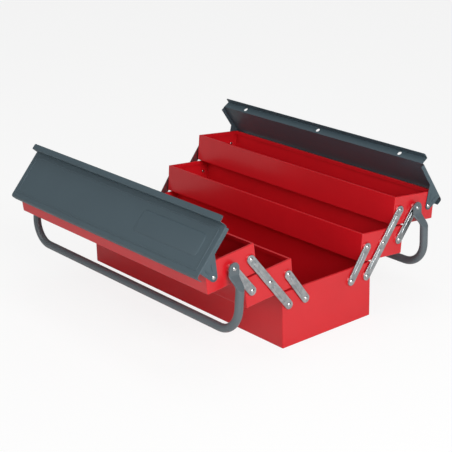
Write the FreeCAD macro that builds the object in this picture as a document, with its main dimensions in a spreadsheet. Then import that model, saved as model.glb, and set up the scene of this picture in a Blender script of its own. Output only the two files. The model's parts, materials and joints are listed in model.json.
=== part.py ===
import FreeCAD, Part
import math
import os
import Sketcher

# Cantilever toolbox of folded sheet steel: a base tray, two tiers of half-width
# trays on each side, carried by riveted arms, two lids and two tube handles.
#
# Frame: origin at the centre of the base's underside, +X along the box,
# +Z up. The front half opens towards -Y and the back half towards +Y. The back
# half is the front half turned half a turn about Z.
#
# Every tray has a frame of its own: x from the middle of the box, y inwards
# from the tray's outer wall, z up from its underside.

ROOT = "Dimensions"

DRIVING = {
    # the box
    "box_length": 530.0,
    "box_width": 200.0,
    "base_height": 98.5,
    "tray_height": 50.0,
    "tier_gap": 0.6,
    "centre_gap": 1.0,
    # the folded sheet
    "sheet": 1.0,
    "fold_radius": 1.7,
    "rim_width": 4.0,
    "rim_depth": 7.0,
    "rim_bite": 0.6,
    "rim_fold": 0.7,
    # the linkage: insets from the outer wall, heights from the tray's underside
    "base_inset": 11.6,
    "tier_shift": 38.0,
    "pivot_height": 27.0,
    "open_lean": 38.5,
    "lower_tilt": 5.0,
    "upper_tilt": 6.0,
    "lower_arm_foot_in": 36.4,
    "lower_arm_foot_up": 0.7,
    "lower_arm_head_in": 38.8,
    "lower_arm_head_up": -0.7,
    "lower_arm_reach": 63.6,
    "lower_arm_lean": 36.0,
    "upper_arm_foot_out": 37.6,
    "upper_arm_foot_up": -0.15,
    "upper_arm_head_out": 38.1,
    "upper_arm_head_up": 0.15,
    "upper_arm_reach": 63.2,
    "upper_arm_lean": 39.0,
    # arms and rivets
    "arm_width": 15.0,
    "arm_thickness": 1.8,
    "arm_offset": 1.8,
    "arm_edge": 0.5,
    "bead_width": 6.4,
    "bead_height": 1.1,
    "bead_edge": 0.9,
    "bead_margin": 13.0,
    "boss_radius": 8.4,
    "boss_height": 1.5,
    "boss_edge": 1.2,
    "rivet_radius": 2.0,
    "rivet_head_radius": 3.7,
    "rivet_head_height": 1.7,
    "rivet_tail_radius": 3.2,
    "rivet_tail_height": 1.2,
    "hinge_clearance": 0.1,
    "lower_head_clearance": 0.5,
    "upper_head_clearance": 0.25,
    "stack_gap": 0.15,
    # lids
    "hinge_inset": 14.0,
    "hinge_height": 24.5,
    "lid_top": 54.9,
    "lid_rear": 2.5,
    "lid_rear_drop": 12.0,
    "lid_rear_radius": 5.0,
    "lid_wall_inset": 90.0,
    "lid_wall_rise": 13.5,
    "lid_flange_end": 2.5,
    "lid_flange_corner": 3.0,
    "lid_corner": 2.5,
    "lid_side_gap": 0.5,
    "lid_fold": 0.9,
    "lid_flange_fold": 1.4,
    "skirt_depth": 8.0,
    "ear_kink": 44.0,
    "ear_radius": 7.0,
    "ear_rib_width": 2.2,
    "ear_rib_height": 0.7,
    "ear_rib_start": 11.0,
    "ear_rib_end": 21.0,
    "ear_rib_turn_1": 52.0,
    "ear_rib_turn_2": 88.0,
    "padlock_hole_radius": 4.0,
    "padlock_hole_spacing": 205.0,
    "panel_bead_inset": 8.0,
    "panel_bead_width": 2.6,
    "panel_bead_height": 0.7,
    "panel_bead_corner": 3.5,
    "panel_bead_edge": 0.5,
    "front_lid_open": 43.0,
    "back_lid_open": 51.0,
    # handles
    "handle_radius": 7.0,
    "handle_wall": 1.2,
    "handle_reach": 103.0,
    "handle_bend": 43.0,
    "handle_side": 23.0,
    "handle_pinch_top": 10.0,
    "handle_pinch_bottom": 32.0,
    "handle_pinch_inset": 0.05,
    "handle_tab_radius": 10.5,
    "handle_tab_thickness": 2.8,
    "washer_radius": 8.0,
    "washer_thickness": 1.8,
    "front_handle_swing": 5.0,
    "back_handle_swing": 1.0,
}

SIDES = {"front": 0.0, "back": 180.0}
ENDS = {"right": 1, "left": -1}

X_AXIS = FreeCAD.Vector(1, 0, 0)
Z_AXIS = FreeCAD.Vector(0, 0, 1)

doc = FreeCAD.newDocument("CantileverToolbox")
sheet = doc.addObject("Spreadsheet::Sheet", ROOT)
for row, (name, number) in enumerate(DRIVING.items(), start=1):
    sheet.set("A%d" % row, name)
    sheet.set("B%d" % row, str(number))
    sheet.setAlias("B%d" % row, name)
doc.recompute()

# A second sheet with one cell, which works out expressions over the first.
scratch = doc.addObject("Spreadsheet::Sheet", "Scratch")

parts = []


# ---------------------------------------------------------------- small tools

def size(name):
    """The number in one cell of the sheet."""
    return float(sheet.get(name))


def bound(text):
    """An expression over the sheet, from a text that names its cells in braces."""
    for name in DRIVING:
        text = text.replace("{%s}" % name, "%s.%s" % (ROOT, name))
    return text


def worked_out(text):
    """The value of such a text now."""
    scratch.set("A1", "=" + bound(text))
    scratch.recompute()
    value = scratch.get("A1")
    return float(getattr(value, "Value", value))


def new_body(label):
    body = doc.addObject("PartDesign::Body", label)
    body.Label = label
    parts.append(body)
    return body


def new_sketch(body, name, role, offset=None):
    """A sketch on one of the body's own origin planes, moved along its normal."""
    plane = next(item for item in body.Origin.OriginFeatures if item.Role == role)
    sketch = body.newObject("Sketcher::SketchObject", name)
    sketch.AttachmentSupport = [(plane, "")]
    sketch.MapMode = "FlatFace"
    if offset is not None:
        sketch.setExpression(".AttachmentOffset.Base.z", bound(offset))
    return sketch


def pin(sketch, geometry, position, x, y):
    """Ties one point of a sketch to two expressions measured from its origin."""
    for kind, text in (("DistanceX", x), ("DistanceY", y)):
        index = sketch.addConstraint(
            Sketcher.Constraint(kind, -1, 1, geometry, position, worked_out(text)))
        sketch.setExpression("Constraints[%d]" % index, bound(text))


def polygon(sketch, corners):
    """A closed outline of straight sides through corners given as expressions."""
    points = [FreeCAD.Vector(worked_out(x), worked_out(y), 0) for x, y in corners]
    first = sketch.GeometryCount
    count = len(points)
    for index in range(count):
        sketch.addGeometry(Part.LineSegment(points[index], points[(index + 1) % count]), False)
    for index in range(count):
        following = first + (index + 1) % count
        sketch.addConstraint(Sketcher.Constraint("Coincident", first + index, 2, following, 1))
    for index, (x, y) in enumerate(corners):
        pin(sketch, first + index, 1, x, y)


def rectangle(sketch, low_x, low_y, high_x, high_y):
    polygon(sketch, [(low_x, low_y), (high_x, low_y), (high_x, high_y), (low_x, high_y)])


def circle(sketch, x, y, radius):
    centre = FreeCAD.Vector(worked_out(x), worked_out(y), 0)
    index = sketch.addGeometry(Part.Circle(centre, Z_AXIS, worked_out(radius)), False)
    pin(sketch, index, 3, x, y)
    limit = sketch.addConstraint(Sketcher.Constraint("Radius", index, worked_out(radius)))
    sketch.setExpression("Constraints[%d]" % limit, bound(radius))


def slot(sketch, start, end, radius):
    """A stadium between two centres, each given as a pair of expressions."""
    first = FreeCAD.Vector(worked_out(start[0]), worked_out(start[1]), 0)
    second = FreeCAD.Vector(worked_out(end[0]), worked_out(end[1]), 0)
    reach = worked_out(radius)
    along = (second - first).normalize()
    across = FreeCAD.Vector(-along.y, along.x, 0) * reach
    turn = math.atan2(along.y, along.x)
    quarter = math.pi / 2
    base = sketch.GeometryCount
    sketch.addGeometry([
        Part.ArcOfCircle(Part.Circle(first, Z_AXIS, reach), turn + quarter, turn + 3 * quarter),
        Part.LineSegment(first - across, second - across),
        Part.ArcOfCircle(Part.Circle(second, Z_AXIS, reach), turn - quarter, turn + quarter),
        Part.LineSegment(second + across, first + across),
    ], False)
    for this, following in ((0, 1), (1, 2), (2, 3), (3, 0)):
        sketch.addConstraint(
            Sketcher.Constraint("Tangent", base + this, 2, base + following, 1))
    pin(sketch, base, 3, *start)
    pin(sketch, base + 2, 3, *end)
    limit = sketch.addConstraint(Sketcher.Constraint("Radius", base, reach))
    sketch.setExpression("Constraints[%d]" % limit, bound(radius))


def pad(body, sketch, length, midplane=False, reverse=False):
    feature = body.newObject("PartDesign::Pad", sketch.Name + "_pad")
    feature.Profile = sketch
    feature.setExpression("Length", bound(length))
    feature.Midplane = midplane
    feature.Reversed = reverse
    sketch.Visibility = False
    doc.recompute()
    return feature


def cut_through(body, sketch):
    """Cuts a sketch through everything, both ways from its plane."""
    before = body.Shape.Volume
    feature = body.newObject("PartDesign::Pocket", sketch.Name + "_cut")
    feature.Profile = sketch
    feature.Type = "ThroughAll"
    feature.Midplane = True
    sketch.Visibility = False
    doc.recompute()
    if not body.Shape.Volume < before:
        raise RuntimeError("%s cuts nothing" % sketch.Name)
    return feature


def dress(body, name, kind, radius, chosen):
    """Fillets or chamfers the edges of the body's last feature that chosen() takes."""
    tip = body.Tip
    names = []
    for index, edge in enumerate(tip.Shape.Edges, start=1):
        if chosen(edge):
            names.append("Edge%d" % index)
    if not names:
        raise RuntimeError("%s finds no edge" % name)
    feature = body.newObject("PartDesign::" + kind, name)
    feature.Base = (tip, names)
    feature.setExpression("Radius" if kind == "Fillet" else "Size", bound(radius))
    doc.recompute()
    return feature


def mirror_ends(body, name, features):
    """Repeats features of the right-hand end at the left-hand end."""
    plane = next(item for item in body.Origin.OriginFeatures if item.Role == "YZ_Plane")
    feature = body.newObject("PartDesign::Mirrored", name)
    feature.Originals = features
    feature.MirrorPlane = (plane, [""])
    body.Tip = feature
    doc.recompute()
    return feature


def runs_as(edge, kind):
    """True for an edge whose curve is of a kind; offset curves have no kind."""
    try:
        return isinstance(edge.Curve, kind)
    except TypeError:
        return False


def straight_along(edge, axis):
    """True for a straight edge that runs along one axis."""
    if not runs_as(edge, Part.Line):
        return False
    direction = edge.Vertexes[-1].Point - edge.Vertexes[0].Point
    return abs(abs(direction.normalize().dot(axis)) - 1) < 1e-6


def edge_at(edge, axis, values, tolerance=0.02):
    """True where every vertex of an edge has one of the values along an axis."""
    return all(min(abs(corner.Point.dot(axis) - value) for value in values) < tolerance
               for corner in edge.Vertexes)


# ------------------------------------------------------------------ placement

def turned(degrees):
    return FreeCAD.Placement(FreeCAD.Vector(), FreeCAD.Rotation(X_AXIS, degrees))


def moved(x, y, z):
    return FreeCAD.Placement(FreeCAD.Vector(x, y, z), FreeCAD.Rotation())


def side_turn(side):
    return FreeCAD.Placement(FreeCAD.Vector(), FreeCAD.Rotation(Z_AXIS, SIDES[side]))


def end_turn(end):
    """Turns a piece made for the right-hand end to face the other way."""
    return FreeCAD.Placement(FreeCAD.Vector(), FreeCAD.Rotation(Z_AXIS, 90 - 90 * ENDS[end]))


TIER_PITCH = size("tray_height") + size("tier_gap")
ARM_PITCH = math.hypot(TIER_PITCH, size("tier_shift"))
BASE_PIVOT = (size("base_inset") - size("box_width") / 2,
              size("base_height") + size("tier_gap") - TIER_PITCH + size("pivot_height"))


def tray_pivot(tier):
    """The long arm's pivot in a tray's own frame."""
    return (size("base_inset") + tier * size("tier_shift"), size("pivot_height"))


def tray_place(tier):
    """Where the front tray of a tier stands with the box open."""
    lean = math.radians(size("open_lean"))
    inward, up = tray_pivot(tier)
    tilt = size("lower_tilt") if tier == 1 else size("upper_tilt")
    where = moved(0, BASE_PIVOT[0] - tier * ARM_PITCH * math.sin(lean),
                  BASE_PIVOT[1] + tier * ARM_PITCH * math.cos(lean))
    return where.multiply(turned(tilt)).multiply(moved(0, -inward, -up))


def lower_arm_foot():
    return (BASE_PIVOT[0] + size("lower_arm_foot_in"), BASE_PIVOT[1] + size("lower_arm_foot_up"))


def lower_arm_head():
    inward, up = tray_pivot(1)
    return (inward + size("lower_arm_head_in"), up + size("lower_arm_head_up"))


def upper_arm_foot():
    inward, up = tray_pivot(1)
    return (inward - size("upper_arm_foot_out"), up + size("upper_arm_foot_up"))


def handle_pivot():
    """The upper arm's head, which the handle shares."""
    inward, up = tray_pivot(2)
    return (inward - size("upper_arm_head_out"), up + size("upper_arm_head_up"))


# ---------------------------------------------------------------------- trays

def tray_shell(label, width, height):
    """An open box of folded sheet with rounded folds and a hem around its rim."""
    body = new_body(label)
    outline = new_sketch(body, label + "_outline", "XY_Plane")
    rectangle(outline, "-{box_length} / 2", "0", "{box_length} / 2", width)
    pad(body, outline, height)
    top = worked_out(height)
    dress(body, label + "_folds", "Fillet", "{fold_radius}",
          lambda edge: not edge_at(edge, Z_AXIS, [top]))
    floor = new_sketch(body, label + "_inside", "XY_Plane", "{sheet}")
    rectangle(floor, "{sheet} - {box_length} / 2", "{sheet}",
              "{box_length} / 2 - {sheet}", width + " - {sheet}")
    inside = body.newObject("PartDesign::Pocket", label + "_hollow")
    inside.Profile = floor
    inside.Type = "ThroughAll"
    inside.Reversed = True
    floor.Visibility = False
    doc.recompute()
    flange = new_sketch(body, label + "_rim", "XY_Plane", height)
    ring(flange, width, "{rim_bite}", "{rim_width}")
    pad(body, flange, "{sheet}", reverse=True)
    lip = new_sketch(body, label + "_lip", "XY_Plane", height)
    ring(lip, width, "{rim_width} - {sheet}", "{rim_width}")
    pad(body, lip, "{rim_depth}", reverse=True)
    inner = size("rim_width")
    half = size("box_length") / 2
    depth = worked_out(width)

    def rim_corner(edge):
        """The rim's top edges, outside and inside."""
        if not edge_at(edge, Z_AXIS, [top]):
            return False
        on_end = edge_at(edge, X_AXIS, [half, -half, half - inner, inner - half], 0.3)
        on_side = edge_at(edge, FreeCAD.Vector(0, 1, 0), [0, depth, inner, depth - inner], 0.3)
        return on_end or on_side or not runs_as(edge, Part.Line)

    dress(body, label + "_rim_fold", "Fillet", "{rim_fold}", rim_corner)
    return body


def ring(sketch, width, outer, inner):
    """The band between two insets from a tray's four walls."""
    for inset in (outer, inner):
        rectangle(sketch, inset + " - {box_length} / 2", inset,
                  "{box_length} / 2 - (" + inset + ")", width + " - (" + inset + ")")


def pivots(body, label, points, holes):
    """Raises a pressed boss at each pivot and pierces every rivet hole, at both ends."""
    bosses = new_sketch(body, label + "_bosses", "YZ_Plane", "{box_length} / 2")
    for inward, up in points:
        circle(bosses, inward, up, "{boss_radius}")
    raised = pad(body, bosses, "{boss_height}")
    face = size("box_length") / 2 + size("boss_height")
    edges = dress(body, label + "_boss_edges", "Chamfer", "{boss_edge}",
                  lambda edge: runs_as(edge, Part.Circle) and edge_at(edge, X_AXIS, [face]))
    mirror_ends(body, label + "_far_bosses", [raised, edges])
    pierced = new_sketch(body, label + "_rivet_holes", "YZ_Plane")
    for inward, up in points + holes:
        circle(pierced, inward, up, "{rivet_radius}")
    cut_through(body, pierced)


def base_tray():
    label = "base_tray"
    body = tray_shell(label, "{box_width}", "{base_height}")
    height = "({base_height} - {tray_height} + {pivot_height})"
    points = []
    for inward in ("{base_inset}", "{box_width} - {base_inset}"):
        points.append((inward, height))
    for inward in ("{base_inset} + {lower_arm_foot_in}",
                   "{box_width} - {base_inset} - {lower_arm_foot_in}"):
        points.append((inward, height + " + {lower_arm_foot_up}"))
    pivots(body, label, points, [])
    body.Placement = moved(0, -size("box_width") / 2, 0)


HALF_WIDTH = "({box_width} - {centre_gap}) / 2"
PIVOT_INWARD = {1: "{base_inset} + {tier_shift}", 2: "{base_inset} + 2 * {tier_shift}"}


def lower_tray(side):
    label = side + "_lower_tray"
    body = tray_shell(label, HALF_WIDTH, "{tray_height}")
    points = [
        (PIVOT_INWARD[1], "{pivot_height}"),
        (PIVOT_INWARD[1] + " + {lower_arm_head_in}", "{pivot_height} + {lower_arm_head_up}"),
        (PIVOT_INWARD[1] + " - {upper_arm_foot_out}", "{pivot_height} + {upper_arm_foot_up}"),
    ]
    pivots(body, label, points, [])
    body.Placement = side_turn(side).multiply(tray_place(1))


def upper_tray(side):
    label = side + "_upper_tray"
    body = tray_shell(label, HALF_WIDTH, "{tray_height}")
    points = [
        (PIVOT_INWARD[2], "{pivot_height}"),
        (PIVOT_INWARD[2] + " - {upper_arm_head_out}", "{pivot_height} + {upper_arm_head_up}"),
    ]
    pivots(body, label, points, [("{hinge_inset}", "{hinge_height}")])
    body.Placement = side_turn(side).multiply(tray_place(2))


# ----------------------------------------------------------------------- arms

def arm(label, reach, stations, head_clearance, place):
    """A flat link with rounded ends and a pressed bead in each span.

    Its own frame has the foot pivot at the origin, the link along +Z and its
    inner face at x = 0. Stations are the heights of its rivets."""
    body = new_body(label)
    outline = new_sketch(body, label + "_outline", "YZ_Plane")
    slot(outline, ("0", "0"), ("0", reach), "{arm_width} / 2")
    pad(body, outline, "{arm_thickness}")
    outer = size("arm_thickness")
    dress(body, label + "_edges", "Fillet", "{arm_edge}",
          lambda edge: edge_at(edge, X_AXIS, [outer]))
    for number, (low, high) in enumerate(zip(stations, stations[1:]), start=1):
        bead = new_sketch(body, "%s_bead_%d" % (label, number), "YZ_Plane")
        slot(bead, ("0", "%s + {bead_margin}" % low), ("0", "%s - {bead_margin}" % high),
             "{bead_width} / 2")
        pad(body, bead, "{arm_thickness} + {bead_height}")
    crest = size("arm_thickness") + size("bead_height")
    dress(body, label + "_bead_edges", "Fillet", "{bead_edge}",
          lambda edge: edge_at(edge, X_AXIS, [crest]))
    holes = new_sketch(body, label + "_holes", "YZ_Plane")
    for station in stations[:-1]:
        circle(holes, "0", station, "{rivet_radius} + {hinge_clearance}")
    circle(holes, "0", stations[-1], "{rivet_radius} + %s" % head_clearance)
    cut_through(body, holes)
    body.Placement = place


def arm_place(side, end, foot, lean):
    """Puts an arm's foot on a pivot outside an end wall, leaning by an angle."""
    out = ENDS[end] * (size("box_length") / 2 + size("arm_offset"))
    where = side_turn(side).multiply(moved(out, foot.y, foot.z))
    return where.multiply(turned(lean)).multiply(end_turn(end))


def arms(side):
    """The long, lower and upper arms at both ends of one side."""
    long_foot = FreeCAD.Vector(0, *BASE_PIVOT)
    lower_foot = FreeCAD.Vector(0, *lower_arm_foot())
    upper_foot = tray_place(1).multVec(FreeCAD.Vector(0, *upper_arm_foot()))
    pitch = "sqrt(({tray_height} + {tier_gap})^2 + {tier_shift}^2)"
    for end in ENDS:
        arm("%s_long_arm_%s" % (side, end), "2 * " + pitch, ["0", pitch, "2 * " + pitch],
            "{hinge_clearance}", arm_place(side, end, long_foot, size("open_lean")))
        arm("%s_lower_arm_%s" % (side, end), "{lower_arm_reach}", ["0", "{lower_arm_reach}"],
            "{lower_head_clearance}", arm_place(side, end, lower_foot, size("lower_arm_lean")))
        arm("%s_upper_arm_%s" % (side, end), "{upper_arm_reach}", ["0", "{upper_arm_reach}"],
            "{upper_head_clearance}", arm_place(side, end, upper_foot, size("upper_arm_lean")))


# --------------------------------------------------------------------- rivets

def rivet(grip):
    """One domed rivet through an end wall, with its head outwards.

    It lies along +X from the wall's outer face at x = 0 to its head at x = grip."""
    shank_radius = size("rivet_radius")
    head_radius = size("rivet_head_radius")
    rise = size("rivet_head_height")
    tail_radius = size("rivet_tail_radius")
    tail = size("rivet_tail_height")
    inside = -size("sheet")
    dome_radius = (head_radius ** 2 + rise ** 2) / (2 * rise)
    crown = FreeCAD.Vector(grip + rise, 0, 0)
    middle = dome_radius - math.sqrt(dome_radius ** 2 - (head_radius / 2) ** 2)
    on_dome = FreeCAD.Vector(grip + rise - middle, head_radius / 2, 0)
    corner = FreeCAD.Vector(grip, head_radius, 0)
    outline = [
        Part.LineSegment(FreeCAD.Vector(inside - tail, 0, 0), crown).toShape(),
        Part.Arc(crown, on_dome, corner).toShape(),
    ]
    steps = [corner, FreeCAD.Vector(grip, shank_radius, 0), FreeCAD.Vector(inside, shank_radius, 0),
             FreeCAD.Vector(inside, tail_radius, 0),
             FreeCAD.Vector(inside - tail / 2, tail_radius, 0),
             FreeCAD.Vector(inside - tail, tail_radius - tail / 2, 0),
             FreeCAD.Vector(inside - tail, 0, 0)]
    for start, finish in zip(steps, steps[1:]):
        outline.append(Part.LineSegment(start, finish).toShape())
    face = Part.Face(Part.Wire(Part.__sortEdges__(outline)))
    return face.revolve(FreeCAD.Vector(), X_AXIS, 360)


def rivet_group(label, grip, points, place):
    """Rivets at both ends of a tray, as separate solids of one group."""
    solids = []
    for end, direction in ENDS.items():
        for inward, up in points:
            one = rivet(grip)
            one.Placement = moved(direction * size("box_length") / 2, inward, up).multiply(
                end_turn(end))
            solids.append(one)
    group = doc.addObject("Part::Feature", label)
    group.Label = label
    group.Shape = Part.makeCompound(solids)
    group.Placement = place
    parts.append(group)


ARM_GRIP = size("arm_offset") + size("arm_thickness") + size("stack_gap")
HANDLE_INNER = ARM_GRIP + size("washer_thickness") + size("stack_gap")
HANDLE_GRIP = HANDLE_INNER + size("handle_tab_thickness") + size("stack_gap")
EAR_GRIP = size("lid_side_gap") + size("sheet") + size("stack_gap")


def base_rivets():
    outward = size("box_width") / 2
    feet = [(BASE_PIVOT[0] + outward, BASE_PIVOT[1]),
            (lower_arm_foot()[0] + outward, lower_arm_foot()[1])]
    points = feet + [(size("box_width") - inward, up) for inward, up in feet]
    rivet_group("base_rivets", ARM_GRIP, points, moved(0, -outward, 0))


def tray_rivets(side):
    lower = side_turn(side).multiply(tray_place(1))
    upper = side_turn(side).multiply(tray_place(2))
    rivet_group(side + "_lower_tray_rivets", ARM_GRIP,
                [tray_pivot(1), lower_arm_head(), upper_arm_foot()], lower)
    rivet_group(side + "_upper_tray_rivets", ARM_GRIP, [tray_pivot(2)], upper)
    rivet_group(side + "_handle_rivets", HANDLE_GRIP, [handle_pivot()], upper)
    rivet_group(side + "_lid_rivets", EAR_GRIP,
                [(size("hinge_inset"), size("hinge_height"))], upper)


# ----------------------------------------------------------------------- lids

LID_HALF = "({box_length} / 2 + {lid_side_gap} + {sheet})"


def lid(side):
    """A pressed lid in the frame of its tray, then swung open about its ears."""
    label = side + "_lid"
    body = new_body(label)
    lid_panel(body, label)
    lid_flange(body, label)
    lid_ears(body, label)
    lid_border(body, label)
    hinge = (size("hinge_inset"), size("hinge_height"))
    swing = moved(0, *hinge).multiply(turned(size(side + "_lid_open")))
    swing = swing.multiply(moved(0, -hinge[0], -hinge[1]))
    body.Placement = side_turn(side).multiply(tray_place(2)).multiply(swing)


def lid_panel(body, label):
    """The flat panel with its rear edge turned down over a wide bend."""
    section = new_sketch(body, label + "_section", "YZ_Plane")
    rear = "-{lid_rear}"
    foot = "{lid_top} - {lid_rear_drop}"
    polygon(section, [
        ("{lid_wall_inset}", "{lid_top}"),
        (rear, "{lid_top}"),
        (rear, foot),
        (rear + " + {sheet}", foot),
        (rear + " + {sheet}", "{lid_top} - {sheet}"),
        ("{lid_wall_inset}", "{lid_top} - {sheet}"),
    ])
    pad(body, section, "2 * " + LID_HALF, midplane=True)
    top = size("lid_top")
    outer = -size("lid_rear")
    y_axis = FreeCAD.Vector(0, 1, 0)
    dress(body, label + "_rear_bend", "Fillet", "{lid_rear_radius}",
          lambda edge: edge_at(edge, Z_AXIS, [top]) and edge_at(edge, y_axis, [outer]))
    under = top - size("sheet")
    within = outer + size("sheet")
    dress(body, label + "_rear_bend_inside", "Fillet", "{lid_rear_radius} - {sheet}",
          lambda edge: edge_at(edge, Z_AXIS, [under]) and edge_at(edge, y_axis, [within]))
    free = size("lid_wall_inset")
    dress(body, label + "_corners", "Fillet", "{lid_corner}",
          lambda edge: straight_along(edge, Z_AXIS) and edge_at(edge, y_axis, [free]))


def lid_flange(body, label):
    """The free edge: a low wall with three padlock holes and a flange to the middle."""
    section = new_sketch(body, label + "_edge_section", "YZ_Plane")
    crest = "{lid_top} + {lid_wall_rise}"
    meeting = HALF_WIDTH
    polygon(section, [
        ("{lid_wall_inset} - {sheet}", "{lid_top} - {sheet}"),
        ("{lid_wall_inset}", "{lid_top} - {sheet}"),
        ("{lid_wall_inset}", crest + " - {sheet}"),
        (meeting, crest + " - {sheet}"),
        (meeting, crest),
        ("{lid_wall_inset} - {sheet}", crest),
    ])
    pad(body, section, "2 * (" + LID_HALF + " - {lid_flange_end})", midplane=True)
    y_axis = FreeCAD.Vector(0, 1, 0)
    tip = worked_out(meeting)
    dress(body, label + "_flange_corners", "Fillet", "{lid_flange_corner}",
          lambda edge: straight_along(edge, Z_AXIS) and edge_at(edge, y_axis, [tip]))
    top = size("lid_top") + size("lid_wall_rise")
    wall = size("lid_wall_inset") - size("sheet")
    dress(body, label + "_flange_bend", "Fillet", "{lid_flange_fold}",
          lambda edge: edge_at(edge, Z_AXIS, [top]) and edge_at(edge, y_axis, [wall]))
    holes = new_sketch(body, label + "_padlock_holes", "XZ_Plane")
    for across in ("-{padlock_hole_spacing}", "0", "{padlock_hole_spacing}"):
        circle(holes, across, "{lid_top} + {lid_wall_rise} / 2", "{padlock_hole_radius}")
    cut_through(body, holes)


def lid_ears(body, label):
    """The turned-down ends, which widen into the hinge ears."""
    kink_up = "{lid_top} - {skirt_depth}"
    across = "({ear_kink} - {hinge_inset})"
    rise = "(" + kink_up + " - {hinge_height})"
    reach = "sqrt(%s^2 + %s^2)" % (across, rise)
    angle = "(atan2(%s; %s) - acos({ear_radius} / %s))" % (rise, across, reach)
    start = "{box_length} / 2 + {lid_side_gap}"
    plate = new_sketch(body, label + "_ear", "YZ_Plane", start)
    free = "{lid_wall_inset} - {lid_corner}"
    upper = "{lid_top} - {sheet} / 2"
    polygon(plate, [
        (free, upper),
        (free, kink_up),
        ("{ear_kink}", kink_up),
        ("{hinge_inset} + {ear_radius} * cos(%s)" % angle,
         "{hinge_height} + {ear_radius} * sin(%s)" % angle),
        ("{hinge_inset}", "{hinge_height}"),
        ("{hinge_inset} - {ear_radius}", "{hinge_height}"),
        ("{hinge_inset} - {ear_radius}", upper),
    ])
    ear = pad(body, plate, "{sheet}")
    round_end = new_sketch(body, label + "_ear_end", "YZ_Plane", start)
    circle(round_end, "{hinge_inset}", "{hinge_height}", "{ear_radius}")
    tip = pad(body, round_end, "{sheet}")
    ribs = ear_ribs(body, label, start + " + {sheet} / 2")
    mirror_ends(body, label + "_far_ear", [ear, tip] + ribs)
    pierced = new_sketch(body, label + "_ear_holes", "YZ_Plane")
    circle(pierced, "{hinge_inset}", "{hinge_height}", "{rivet_radius} + {hinge_clearance}")
    cut_through(body, pierced)
    half = worked_out(LID_HALF)
    top = size("lid_top")
    dress(body, label + "_end_folds", "Fillet", "{lid_fold}",
          lambda edge: edge_at(edge, Z_AXIS, [top]) and edge_at(edge, X_AXIS, [half, -half])
          and straight_along(edge, FreeCAD.Vector(0, 1, 0)))


def ear_ribs(body, label, start):
    """Two short pressed ribs that spread upwards from the hinge rivet."""
    made = []
    height = "{sheet} / 2 + {ear_rib_height}"
    for number, turn in enumerate(("{ear_rib_turn_1}", "{ear_rib_turn_2}"), start=1):
        rib = new_sketch(body, "%s_rib_%d" % (label, number), "YZ_Plane", start)
        points = []
        for reach in ("{ear_rib_start}", "{ear_rib_end}"):
            points.append(("{hinge_inset} + %s * cos(%s * 1 deg)" % (reach, turn),
                           "{hinge_height} + %s * sin(%s * 1 deg)" % (reach, turn)))
        slot(rib, points[0], points[1], "{ear_rib_width} / 2")
        made.append(pad(body, rib, height))
    return made


def lid_border(body, label):
    """A pressed bead with rounded edges, which runs round the panel near its rim."""
    border = new_sketch(body, label + "_border", "XY_Plane", "{lid_top} - {sheet} / 2")
    low = "{panel_bead_inset}"
    high = "{lid_wall_inset} - {panel_bead_inset}"
    end = "({box_length} / 2 - {panel_bead_inset})"
    width = "{panel_bead_width}"
    rectangle(border, "-" + end, low, end, high)
    rectangle(border, "-(%s - %s)" % (end, width), low + " + " + width,
              end + " - " + width, high + " - " + width)
    pad(body, border, "{sheet} / 2 + {panel_bead_height}")
    outer = worked_out(end)
    inner = outer - size("panel_bead_width")
    crest = size("lid_top") + size("panel_bead_height")
    dress(body, label + "_border_corners", "Fillet", "{panel_bead_corner}",
          lambda edge: straight_along(edge, Z_AXIS)
          and edge_at(edge, X_AXIS, [outer, -outer, inner, -inner]))
    dress(body, label + "_border_edges", "Fillet", "{panel_bead_edge}",
          lambda edge: edge_at(edge, Z_AXIS, [crest]))


# -------------------------------------------------------------------- handles

def handle(side):
    """A bent tube whose ends are pinched flat into pierced tabs.

    Its own frame has the pivot axis along X through the origin and the tube
    hanging towards -Z. The right half is made and mirrored."""
    half = handle_tube().fuse(handle_pinch()).fuse(handle_tab())
    bore_radius = size("rivet_radius") + size("hinge_clearance")
    reach = size("box_length") / 2 + 2 * size("handle_side")
    half = half.cut(Part.makeCylinder(bore_radius, reach, FreeCAD.Vector(), X_AXIS))
    whole = doc.addObject("Part::Feature", side + "_handle")
    whole.Label = side + "_handle"
    whole.Shape = half.fuse(half.mirror(FreeCAD.Vector(), X_AXIS)).removeSplitter()
    pivot = tray_place(2).multVec(FreeCAD.Vector(0, *handle_pivot()))
    where = moved(0, pivot.y, pivot.z).multiply(turned(-size(side + "_handle_swing")))
    whole.Placement = side_turn(side).multiply(where)
    parts.append(whole)


def handle_tube():
    """From the middle of the box along the tube's run, round the bend, up the leg."""
    leg = size("box_length") / 2 + size("handle_side")
    top = -size("handle_pinch_bottom")
    low = -size("handle_reach")
    bend = size("handle_bend")
    middle = FreeCAD.Vector(0, 0, low)
    bend_start = FreeCAD.Vector(leg - bend, 0, low)
    on_bend = FreeCAD.Vector(leg - bend + bend * math.sin(math.pi / 4), 0,
                             low + bend - bend * math.cos(math.pi / 4))
    bend_end = FreeCAD.Vector(leg, 0, low + bend)
    path = Part.Wire([
        Part.LineSegment(middle, bend_start).toShape(),
        Part.Arc(bend_start, on_bend, bend_end).toShape(),
        Part.LineSegment(bend_end, FreeCAD.Vector(leg, 0, top)).toShape(),
    ])
    radius = size("handle_radius")
    outside, inside = [
        path.makePipeShell([Part.Wire([Part.Circle(middle, X_AXIS, reach).toShape()])], True, False)
        for reach in (radius, radius - size("handle_wall"))]
    return outside.cut(inside)


def oval(centre, half_across, half_wide):
    """An oval section, wide along Y, at a height of the handle's leg."""
    tall = centre + FreeCAD.Vector(0, half_wide, 0)
    side = centre - FreeCAD.Vector(half_across, 0, 0)
    return Part.Wire([Part.Ellipse(tall, side, centre).toShape()])


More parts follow.
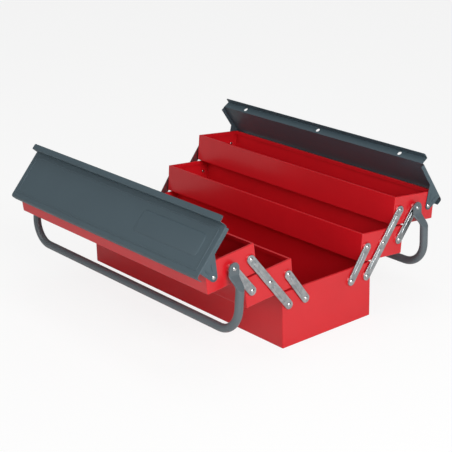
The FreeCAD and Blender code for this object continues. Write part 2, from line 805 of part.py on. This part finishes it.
def handle_pinch():
    """The stretch where the round tube flattens towards its inner side.

    Its round end sits just inside the tube's wall, so the two overlap cleanly."""
    leg = size("box_length") / 2 + size("handle_side")
    tab = size("box_length") / 2 + HANDLE_INNER + size("handle_tab_thickness") / 2
    radius = size("handle_radius")
    inset = size("handle_pinch_inset")
    low = oval(FreeCAD.Vector(leg, 0, -size("handle_pinch_bottom")),
               radius - inset, radius - inset * 0.8)
    high = oval(FreeCAD.Vector(tab, 0, -size("handle_pinch_top")),
                size("handle_tab_thickness") / 2, size("handle_tab_radius"))
    return Part.makeLoft([low, high], True, True)


def handle_tab():
    """The flat end, round about the pivot."""
    inner = size("box_length") / 2 + HANDLE_INNER
    thick = size("handle_tab_thickness")
    radius = size("handle_tab_radius")
    drop = size("handle_pinch_top")
    plate = Part.makeBox(thick, 2 * radius, drop, FreeCAD.Vector(inner, -radius, -drop))
    round_end = Part.makeCylinder(radius, thick, FreeCAD.Vector(inner, 0, 0), X_AXIS)
    return plate.fuse(round_end)


def handle_washers(side):
    """A spacing washer behind each tab of a handle."""
    label = side + "_handle_washers"
    pivot = tray_place(2).multVec(FreeCAD.Vector(0, *handle_pivot()))
    solids = []
    for end, direction in ENDS.items():
        disc = doc.addObject("Part::Cylinder", "%s_%s_disc" % (label, end))
        disc.setExpression("Radius", bound("{washer_radius}"))
        disc.setExpression("Height", bound("{washer_thickness}"))
        bore = doc.addObject("Part::Cylinder", "%s_%s_bore" % (label, end))
        bore.setExpression("Radius", bound("{rivet_radius} + {hinge_clearance}"))
        bore.setExpression("Height", bound("{washer_thickness}"))
        one = doc.addObject("Part::Cut", "%s_%s" % (label, end))
        one.Base = disc
        one.Tool = bore
        out = direction * (size("box_length") / 2 + ARM_GRIP)
        lying = FreeCAD.Rotation(FreeCAD.Vector(0, 1, 0), 90 * direction)
        one.Placement = FreeCAD.Placement(FreeCAD.Vector(out, 0, 0), lying)
        solids.append(one)
    pair = doc.addObject("Part::Compound", label)
    pair.Label = label
    pair.Links = solids
    pair.Placement = side_turn(side).multiply(moved(0, pivot.y, pivot.z))
    parts.append(pair)


# ------------------------------------------------------------------- assembly

base_tray()
base_rivets()
for half_side in SIDES:
    lower_tray(half_side)
    upper_tray(half_side)
    arms(half_side)
    tray_rivets(half_side)
    lid(half_side)
    handle_washers(half_side)
    handle(half_side)
doc.removeObject("Scratch")
doc.recompute()

for item in doc.Objects:
    if "Invalid" in item.State or "Error" in item.State:
        raise RuntimeError("%s failed: %s" % (item.Name, item.State))
for piece in parts:
    if piece.Shape.isNull() or not piece.Shape.isValid():
        raise RuntimeError("%s has no valid shape" % piece.Label)

os.makedirs("parts", exist_ok=True)
for piece in parts:
    piece.Shape.exportStep(os.path.join("parts", piece.Label + ".step"))
    box = piece.Shape.BoundBox
    print("%-26s solids %d  volume %9.1f  x %7.1f..%7.1f  y %7.1f..%7.1f  z %6.1f..%6.1f" % (
        piece.Label, len(piece.Shape.Solids), piece.Shape.Volume,
        box.XMin, box.XMax, box.YMin, box.YMax, box.ZMin, box.ZMax))
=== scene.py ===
# %% [markdown]
# # A cantilever toolbox in folded steel
#
# This notebook dresses a five-tray cantilever toolbox. The sheet-metal parts are
# loaded as a fixed frame, in metres: origin under the middle of the base, +X along
# the box, +Z up. We keep the parts whose shape is already right and give them the
# finish of the real thing. The two handles are built again as meshes, because the
# crushed ends of a bent tube are hard to get from plain solids.

# %% Load the frame
import json
import math

import bmesh
import bpy
from mathutils import Matrix, Vector


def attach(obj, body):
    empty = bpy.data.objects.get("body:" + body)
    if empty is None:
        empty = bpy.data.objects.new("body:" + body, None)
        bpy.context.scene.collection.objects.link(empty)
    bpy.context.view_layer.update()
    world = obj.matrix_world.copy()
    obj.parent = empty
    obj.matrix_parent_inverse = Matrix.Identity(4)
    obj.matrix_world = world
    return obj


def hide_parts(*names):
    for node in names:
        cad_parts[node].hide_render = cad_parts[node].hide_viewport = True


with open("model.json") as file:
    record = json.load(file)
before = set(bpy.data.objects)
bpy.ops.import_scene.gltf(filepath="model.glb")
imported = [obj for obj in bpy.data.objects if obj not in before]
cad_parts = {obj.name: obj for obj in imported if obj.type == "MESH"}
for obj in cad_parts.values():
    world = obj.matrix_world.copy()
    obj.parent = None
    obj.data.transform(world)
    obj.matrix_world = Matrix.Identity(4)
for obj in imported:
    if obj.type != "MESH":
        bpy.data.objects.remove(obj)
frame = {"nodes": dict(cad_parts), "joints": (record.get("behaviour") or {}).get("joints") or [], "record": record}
nodes = frame["nodes"]
joints = {joint["name"]: joint for joint in frame["joints"]}
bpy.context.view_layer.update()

# %% [markdown]
# ## Two small tools for materials
#
# Finishes are written as the hex values that a paint chart gives. Blender's
# shaders work in linear light, so one function turns a hex value into that.
# The second adds a shader node, sets its inputs and links it to others, which
# keeps each finish below short enough to read as a recipe.

# %% Colour and node tools
MM = 0.001


def linear(hex_value, alpha=1.0):
    """A hex sRGB colour as linear light."""
    channels = [int(hex_value[i:i + 2], 16) / 255 for i in (1, 3, 5)]
    light = [c / 12.92 if c <= 0.04045 else ((c + 0.055) / 1.055) ** 2.4 for c in channels]
    return (*light, alpha)


def add_node(tree, kind, settings=None, **inputs):
    """Adds a node; inputs take either a value or another node's output socket."""
    node = tree.nodes.new(kind)
    for name, value in (settings or {}).items():
        setattr(node, name, value)
    for name, value in inputs.items():
        socket = node.inputs[name.replace("_", " ")]
        if isinstance(value, bpy.types.NodeSocket):
            tree.links.new(value, socket)
        else:
            socket.default_value = value
    return node


def new_finish(name):
    """An empty node material, and its tree, shader and object coordinates."""
    finish = bpy.data.materials.new(name)
    finish.use_nodes = True
    tree = finish.node_tree
    shader = tree.nodes["Principled BSDF"]
    place = add_node(tree, "ShaderNodeTexCoord").outputs["Object"]
    return finish, tree, shader, place


print("a strong red in linear light:", [round(v, 3) for v in linear("#c8141e")[:3]])

# %% [markdown]
# ## The red trays: gloss polyester powder coat on steel
#
# Powder is sprayed on dry and melted in an oven, so it flows into a thick, glossy
# skin. The skin is never quite flat: it keeps a faint waviness about 2 mm across,
# called orange peel, which softens reflections. The colour drifts slightly where
# the skin is thicker. An IOR of 1.5 is usual for polyester resin.

# %% Red powder coat
PEEL_WIDTH = 2.2 * MM
DRIFT_WIDTH = 60 * MM
MIX_FIRST = 6
MIX_SECOND = 7


def powder_coat(name, base, thick, gloss, peel_depth, peel_width=PEEL_WIDTH):
    """Two close shades of one paint, with an orange-peel skin."""
    finish, tree, shader, place = new_finish(name)
    drift = add_node(tree, "ShaderNodeTexNoise", Vector=place, Scale=1 / DRIFT_WIDTH, Detail=3.0)
    shade = add_node(tree, "ShaderNodeMix", {"data_type": "RGBA"})
    tree.links.new(drift.outputs["Fac"], shade.inputs[0])
    shade.inputs[MIX_FIRST].default_value = linear(base)
    shade.inputs[MIX_SECOND].default_value = linear(thick)
    tree.links.new(shade.outputs[2], shader.inputs["Base Color"])
    peel = add_node(tree, "ShaderNodeTexNoise", Vector=place, Scale=1 / peel_width, Detail=2.0)
    skin = add_node(tree, "ShaderNodeMapRange", Value=peel.outputs["Fac"])
    skin.inputs["To Min"].default_value = gloss - 0.04
    skin.inputs["To Max"].default_value = gloss + 0.05
    tree.links.new(skin.outputs["Result"], shader.inputs["Roughness"])
    bump = add_node(tree, "ShaderNodeBump", Height=peel.outputs["Fac"], Strength=0.35,
                    Distance=peel_depth)
    tree.links.new(bump.outputs["Normal"], shader.inputs["Normal"])
    shader.inputs["IOR"].default_value = 1.5
    return finish


red_coat = powder_coat("red_gloss_powder_coat", "#cb121e", "#bf0f1a", 0.34, 0.05 * MM)
red_coat.node_tree.nodes["Principled BSDF"].inputs["Coat Weight"].default_value = 0.08
red_coat.node_tree.nodes["Principled BSDF"].inputs["Coat Roughness"].default_value = 0.12
print("made", red_coat.name)

# %% [markdown]
# ## The lids and handles: blue-grey semi-gloss powder coat
#
# The same process with a matting agent in the powder. The peel is finer and the
# reflections are broad and dull, so large flat panels read as one soft tone.

# %% Blue-grey powder coat
slate_coat = powder_coat("blue_grey_semigloss_powder_coat", "#43545c", "#3f4f57", 0.48, 0.04 * MM)
handle_coat = powder_coat("blue_grey_powder_coat_on_tube", "#586166", "#525b60", 0.36,
                          0.03 * MM, 1.6 * MM)
print("made", slate_coat.name, "and", handle_coat.name)

# %% [markdown]
# ## Arms and rivets: bright zinc plate
#
# The arms are punched from strip and barrel-plated with zinc. Tumbling leaves fine
# rub marks and the zinc dries in cloudy patches, so the metal shows soft bright and
# dull areas rather than a mirror. Metals keep the default IOR; the cloudiness goes
# into the colour and the roughness, the rub marks into the bump.

# %% Zinc plate
CLOUD_WIDTH = 7 * MM
RUB_WIDTH = 0.6 * MM


def zinc_plate(name, bright, dull, smooth, rough):
    """Bright plated steel with cloudy patches and fine rub marks."""
    finish, tree, shader, place = new_finish(name)
    cloud = add_node(tree, "ShaderNodeTexNoise", Vector=place, Scale=1 / CLOUD_WIDTH, Detail=4.0)
    tone = add_node(tree, "ShaderNodeValToRGB", Fac=cloud.outputs["Fac"])
    tone.color_ramp.elements[0].position = 0.35
    tone.color_ramp.elements[0].color = linear(dull)
    tone.color_ramp.elements[1].position = 0.68
    tone.color_ramp.elements[1].color = linear(bright)
    tree.links.new(tone.outputs["Color"], shader.inputs["Base Color"])
    polish = add_node(tree, "ShaderNodeMapRange", Value=cloud.outputs["Fac"])
    polish.inputs["To Min"].default_value = rough
    polish.inputs["To Max"].default_value = smooth
    tree.links.new(polish.outputs["Result"], shader.inputs["Roughness"])
    rubs = add_node(tree, "ShaderNodeTexNoise", Vector=place, Scale=1 / RUB_WIDTH, Detail=2.0)
    bump = add_node(tree, "ShaderNodeBump", Height=rubs.outputs["Fac"], Strength=0.25,
                    Distance=0.02 * MM)
    tree.links.new(bump.outputs["Normal"], shader.inputs["Normal"])
    shader.inputs["Metallic"].default_value = 1.0
    return finish


zinc_strip = zinc_plate("bright_zinc_plate_on_strip", "#b9bcbd", "#979c9f", 0.26, 0.40)
zinc_rivet = zinc_plate("bright_zinc_plate_on_rivets", "#d2d3d1", "#b0b3b4", 0.18, 0.32)
print("made", zinc_strip.name, "and", zinc_rivet.name)

# %% [markdown]
# ## Dress the parts that keep their shape
#
# The frame's trays, lids, arms, washers and rivets already have their folds, beads
# and domes, so they only need a finish. Each node names a material slot in the
# record, and that slot picks the finish here.

# %% Dress the frame's nodes
FINISH_OF_SLOT = {
    "trays": red_coat,
    "lids": slate_coat,
    "handles": handle_coat,
    "arms": zinc_strip,
    "rivets": zinc_rivet,
}
slot_of_node = {row["node"]: row["material_slot"] for row in frame["record"]["subparts"]}


def dress_piece(piece, finish):
    piece.data.materials.clear()
    piece.data.materials.append(finish)


for name, part in nodes.items():
    dress_piece(part, FINISH_OF_SLOT[slot_of_node[name]])
print("dressed", len(nodes), "nodes")

# %% [markdown]
# ## The handles: bent tube with crushed ends
#
# A handle is one 14 mm tube bent twice. Each end is crushed flat in a press, which
# leaves a flat tab, a crease where the press edge stopped, and a facet that runs
# out in a V down the round tube. We build one end as a stack of outlines: each
# outline is a list of points, and a point keeps its number all the way along, so
# two of them can follow the V's edges. The facet takes the first points and the
# round back takes the rest. The pivot comes from the joint, the size from the box.

# %% Handle sizes
TUBE_RADIUS = 7.0 * MM
BEND_RADIUS = 43.0 * MM
TAB_THICKNESS = 2.8 * MM
TAB_RADIUS = 10.4 * MM
TAB_DROP = 9.0 * MM
PINCH_END = 31.0 * MM
TAB_INNER = 270.7 * MM
LEG_X = 288.0 * MM
REACH = 103.0 * MM
HANDLE_SWING = {"front": 5.0, "back": 1.0}
FACET_SHARE = 0.93
SWELL_RATE = 1.15
FACET_POINTS = 9
BACK_POINTS = 31
print("tube %.0f mm, leg at x = %.0f mm" % (2000 * TUBE_RADIUS, 1000 * LEG_X))

# %% Handle outlines


def outline(centre_x, half_thick, half_wide, facet_half, facet_x):
    """One closed outline at a height of the leg, as (x, y) pairs.

    The facet is a flat strip at facet_x; the back is an oval that meets its edges."""
    sine = min(facet_half / half_wide, 1.0)
    start = math.asin(sine)
    points = []
    for i in range(FACET_POINTS):
        across = -1 + 2 * i / (FACET_POINTS - 1)
        points.append((facet_x, across * facet_half))
    for i in range(1, BACK_POINTS + 1):
        angle = start + (2 * math.pi - 2 * start) * i / (BACK_POINTS + 1)
        x = centre_x + half_thick * math.cos(angle)
        points.append((min(x, facet_x), half_wide * math.sin(angle)))
    return points


def smooth_step(t):
    t = min(max(t, 0.0), 1.0)
    return t * t * (3 - 2 * t)


def leg_outline(drop):
    """The outline at a distance below the pivot; above it the drop is negative."""
    tab_outer = TAB_INNER + TAB_THICKNESS
    tab_middle = TAB_INNER + TAB_THICKNESS / 2
    if drop <= TAB_DROP:
        half = TAB_RADIUS
        if drop < 0:
            half = math.sqrt(max(TAB_RADIUS ** 2 - drop ** 2, (0.4 * MM) ** 2))
        return outline(tab_middle, TAB_THICKNESS / 2, half, half * FACET_SHARE, tab_outer)
    t = (drop - TAB_DROP) / (PINCH_END - TAB_DROP)
    ease = smooth_step(t)
    middle = tab_middle + (LEG_X - tab_middle) * smooth_step(t * SWELL_RATE)
    thick = TAB_THICKNESS / 2 + (TUBE_RADIUS - TAB_THICKNESS / 2) * smooth_step(t * SWELL_RATE)
    wide = TAB_RADIUS + (TUBE_RADIUS - TAB_RADIUS) * ease
    facet_x = tab_outer + (LEG_X + TUBE_RADIUS - tab_outer) * t
    facet_half = max(TAB_RADIUS * FACET_SHARE * (1 - t), 0.25 * MM)
    facet_half = min(facet_half, wide * FACET_SHARE)
    return outline(middle, thick, wide, facet_half, min(facet_x, middle + thick))


def half_handle_rings():
    """Rings of points from the tab's top to the middle of the box, in the handle's frame."""
    rings = []
    heights = [-TAB_RADIUS * math.cos(math.pi / 2 * i / 10) for i in range(11)]
    heights += [TAB_DROP * i / 4 for i in range(1, 5)]
    steps = 16
    heights += [TAB_DROP + (PINCH_END - TAB_DROP) * i / steps for i in range(1, steps + 1)]
    for drop in heights:
        rings.append([Vector((x, y, -drop)) for x, y in leg_outline(drop)])
    round_section = leg_outline(PINCH_END)
    straight_end = REACH - BEND_RADIUS
    for i in range(1, 5):
        drop = PINCH_END + (straight_end - PINCH_END) * i / 4
        rings.append([Vector((x, y, -drop)) for x, y in round_section])
    centre = Vector((LEG_X - BEND_RADIUS, 0, -straight_end))
    for i in range(1, 15):
        turn = math.pi / 2 * i / 14
        ring = []
        for x, y in round_section:
            reach = BEND_RADIUS + (x - LEG_X)
            ring.append(centre + Vector((reach * math.cos(turn), y, -reach * math.sin(turn))))
        rings.append(ring)
    bend_end = rings[-1]
    for i in range(1, 5):
        shift = Vector((-(LEG_X - BEND_RADIUS) * i / 4, 0, 0))
        rings.append([point + shift for point in bend_end])
    return rings


print("outline points:", len(leg_outline(0.0)))

# %% Build the handles


def build_handle(side):
    """Both halves of one handle as a closed mesh that rides on its body."""
    body = side + "_handle"
    mesh_maker = bmesh.new()
    half = half_handle_rings()
    mirrored = [[Vector((-p.x, p.y, p.z)) for p in ring] for ring in reversed(half[:-1])]
    rings = [[mesh_maker.verts.new(p) for p in ring] for ring in half + mirrored]
    count = len(rings[0])
    for ring, following in zip(rings, rings[1:]):
        for i in range(count):
            j = (i + 1) % count
            mesh_maker.faces.new((ring[i], ring[j], following[j], following[i]))
    mesh_maker.faces.new(rings[0])
    mesh_maker.faces.new(list(reversed(rings[-1])))
    bmesh.ops.recalc_face_normals(mesh_maker, faces=mesh_maker.faces)
    mesh = bpy.data.meshes.new(body + "_tube")
    mesh_maker.to_mesh(mesh)
    mesh_maker.free()
    mesh.shade_smooth()
    mesh.set_sharp_from_angle(angle=math.radians(32))
    piece = bpy.data.objects.new(body + "_tube", mesh)
    bpy.context.scene.collection.objects.link(piece)
    joint = joints[side + "_handle_swing"]
    facing = Matrix.Rotation(math.pi if side == "back" else 0.0, 4, "Z")
    turn = facing @ Matrix.Rotation(math.radians(-HANDLE_SWING[side]), 4, "X")
    piece.matrix_world = Matrix.Translation(Vector(joint["pos_m"])) @ turn
    dress_piece(piece, handle_coat)
    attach(piece, body)
    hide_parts(body)
    return piece


handles = [build_handle(side) for side in ("front", "back")]
print("built", [piece.name for piece in handles])

# %% [markdown]
# ## A plain pressed field on each lid
#
# Boxes of this kind carry a raised panel near one end of each lid. Ours is left
# blank: a rounded rectangle that stands 0.8 mm proud, with a soft edge because
# sheet steel cannot be pressed to a sharp corner. It starts below the lid's skin,
# so that no gap shows, and it turns with the lid.

# %% Build the fields
FIELD_HALF_LENGTH = 80.0 * MM
FIELD_HALF_WIDTH = 20.0 * MM
FIELD_CORNER = 8.0 * MM
FIELD_X = 160.0 * MM
PANEL_MIDDLE = 33.0 * MM
PANEL_ABOVE_HINGE = 30.4 * MM
PANEL_ANGLE = {"front": 49.0, "back": 57.0}
EDGE_PROFILE = [(0.0, -0.4), (0.0, 0.05), (0.5, 0.45), (1.2, 0.7), (2.4, 0.8)]


def rounded_rectangle(inset):
    """The field's outline, moved inward; the corners keep eight steps each."""
    points = []
    corner = FIELD_CORNER - inset
    for quarter, (sx, sy) in enumerate(((1, 1), (-1, 1), (-1, -1), (1, -1))):
        for i in range(9):
            angle = math.pi / 2 * (quarter + i / 8)
            points.append((
                sx * (FIELD_HALF_LENGTH - FIELD_CORNER) + corner * math.cos(angle),
                sy * (FIELD_HALF_WIDTH - FIELD_CORNER) + corner * math.sin(angle),
            ))
    return points


def build_field(side):
    """One raised field in the lid's own frame, carried by the lid."""
    mesh_maker = bmesh.new()
    rings = []
    for inset, height in EDGE_PROFILE:
        outline_points = rounded_rectangle(inset * MM)
        level = PANEL_ABOVE_HINGE + height * MM
        rings.append([mesh_maker.verts.new((FIELD_X + x, PANEL_MIDDLE + y, level))
                      for x, y in outline_points])
    count = len(rings[0])
    for ring, following in zip(rings, rings[1:]):
        for i in range(count):
            j = (i + 1) % count
            mesh_maker.faces.new((ring[i], ring[j], following[j], following[i]))
    mesh_maker.faces.new(rings[0])
    mesh_maker.faces.new(rings[-1])
    bmesh.ops.recalc_face_normals(mesh_maker, faces=mesh_maker.faces)
    mesh = bpy.data.meshes.new(side + "_lid_field")
    mesh_maker.to_mesh(mesh)
    mesh_maker.free()
    mesh.shade_smooth()
    mesh.set_sharp_from_angle(angle=math.radians(50))
    piece = bpy.data.objects.new(side + "_lid_field", mesh)
    bpy.context.scene.collection.objects.link(piece)
    hinge = Vector(joints[side + "_lid_hinge"]["pos_m"])
    facing = Matrix.Rotation(math.pi if side == "back" else 0.0, 4, "Z")
    lean = Matrix.Rotation(math.radians(PANEL_ANGLE[side]), 4, "X")
    piece.matrix_world = Matrix.Translation(hinge) @ facing @ lean
    dress_piece(piece, slate_coat)
    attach(piece, side + "_lid")
    return piece


fields = [build_field(side) for side in ("front", "back")]
print("built", [piece.name for piece in fields])

# %% [markdown]
# ## Floor, light and camera
#
# The studio is a plain pale floor under a pale sky, with one large soft light over
# the box's right-hand end, a weaker one at the front and a strip above for the
# bright lines along the rims. Floor and sky look brighter to the camera than to the
# box, so the backdrop stays white while the paint keeps its depth.

# %% Floor and sky
floor_finish, floor_tree, floor_shader, _ = new_finish("pale_studio_floor")
floor_shader.inputs["Base Color"].default_value = linear("#f4f4f3")
floor_shader.inputs["Roughness"].default_value = 0.7
white_card = add_node(floor_tree, "ShaderNodeEmission", Color=linear("#ffffff"), Strength=1.0)
seen_floor = add_node(floor_tree, "ShaderNodeLightPath").outputs["Is Camera Ray"]
card_share = add_node(floor_tree, "ShaderNodeMath", {"operation": "MULTIPLY"})
floor_tree.links.new(seen_floor, card_share.inputs[0])
card_share.inputs[1].default_value = 0.85
washed_out = add_node(floor_tree, "ShaderNodeMixShader", Fac=card_share.outputs[0])
floor_tree.links.new(floor_shader.outputs["BSDF"], washed_out.inputs[1])
floor_tree.links.new(white_card.outputs["Emission"], washed_out.inputs[2])
floor_output = floor_tree.nodes["Material Output"]
floor_tree.links.new(washed_out.outputs["Shader"], floor_output.inputs["Surface"])
bpy.ops.mesh.primitive_plane_add(size=40, location=(0, 0, 0))
floor = bpy.context.object
floor.name = "studio_floor"
dress_piece(floor, floor_finish)
sky = bpy.data.worlds.new("pale_sky")
sky.use_nodes = True
sky.node_tree.nodes["Background"].inputs["Color"].default_value = linear("#fbfbfb")
seen_by = add_node(sky.node_tree, "ShaderNodeLightPath").outputs["Is Camera Ray"]
glow = add_node(sky.node_tree, "ShaderNodeMapRange", Value=seen_by)
glow.inputs["To Min"].default_value = 0.27
glow.inputs["To Max"].default_value = 1.0
sky.node_tree.links.new(glow.outputs["Result"],
                        sky.node_tree.nodes["Background"].inputs["Strength"])
bpy.context.scene.world = sky
print("floor and sky are in")

# %% Lights


def soft_light(name, place, target, width, height, power, tint="#ffffff"):
    """A rectangular soft box that looks at a point."""
    lamp = bpy.data.lights.new(name, "AREA")
    lamp.shape = "RECTANGLE"
    lamp.size = width
    lamp.size_y = height
    lamp.energy = power
    lamp.color = linear(tint)[:3]
    box = bpy.data.objects.new(name, lamp)
    box.location = place
    box.rotation_euler = (Vector(target) - Vector(place)).to_track_quat("-Z", "Y").to_euler()
    bpy.context.scene.collection.objects.link(box)
    return box


key = soft_light("right_end_light", (2.2, -0.6, 1.3), (0, 0, 0.1), 1.4, 1.2, 50)
fill = soft_light("front_light", (-0.4, -2.4, 1.5), (0, 0, 0.1), 2.0, 1.2, 20)
strip = soft_light("top_strip", (0, 0.4, 2.4), (0, 0, 0.1), 2.4, 0.7, 9)
print("lights:", [light.name for light in (key, fill, strip)])

# %% Camera
camera_data = bpy.data.cameras.new("camera")
camera_data.sensor_width = 36
camera_data.lens = 102.5
camera = bpy.data.objects.new("camera", camera_data)
bpy.context.scene.collection.objects.link(camera)
CAMERA_PLACE = (1.6682, -1.3655, 0.9034)
azimuth = math.radians(140.608)
depression = math.radians(20.058)
roll = math.radians(-1.316)
flat = math.cos(depression)
forward = Vector((flat * math.cos(azimuth), flat * math.sin(azimuth), -math.sin(depression)))
level = forward.cross(Vector((0, 0, 1))).normalized()
upright = level.cross(forward)
right = math.cos(roll) * level + math.sin(roll) * upright
top = -math.sin(roll) * level + math.cos(roll) * upright
camera.matrix_world = Matrix((
    (right.x, top.x, -forward.x, CAMERA_PLACE[0]),
    (right.y, top.y, -forward.y, CAMERA_PLACE[1]),
    (right.z, top.z, -forward.z, CAMERA_PLACE[2]),
    (0, 0, 0, 1),
))
bpy.context.scene.camera = camera
bpy.context.scene.view_settings.view_transform = "Standard"
print("camera at", [round(v, 3) for v in camera.location])
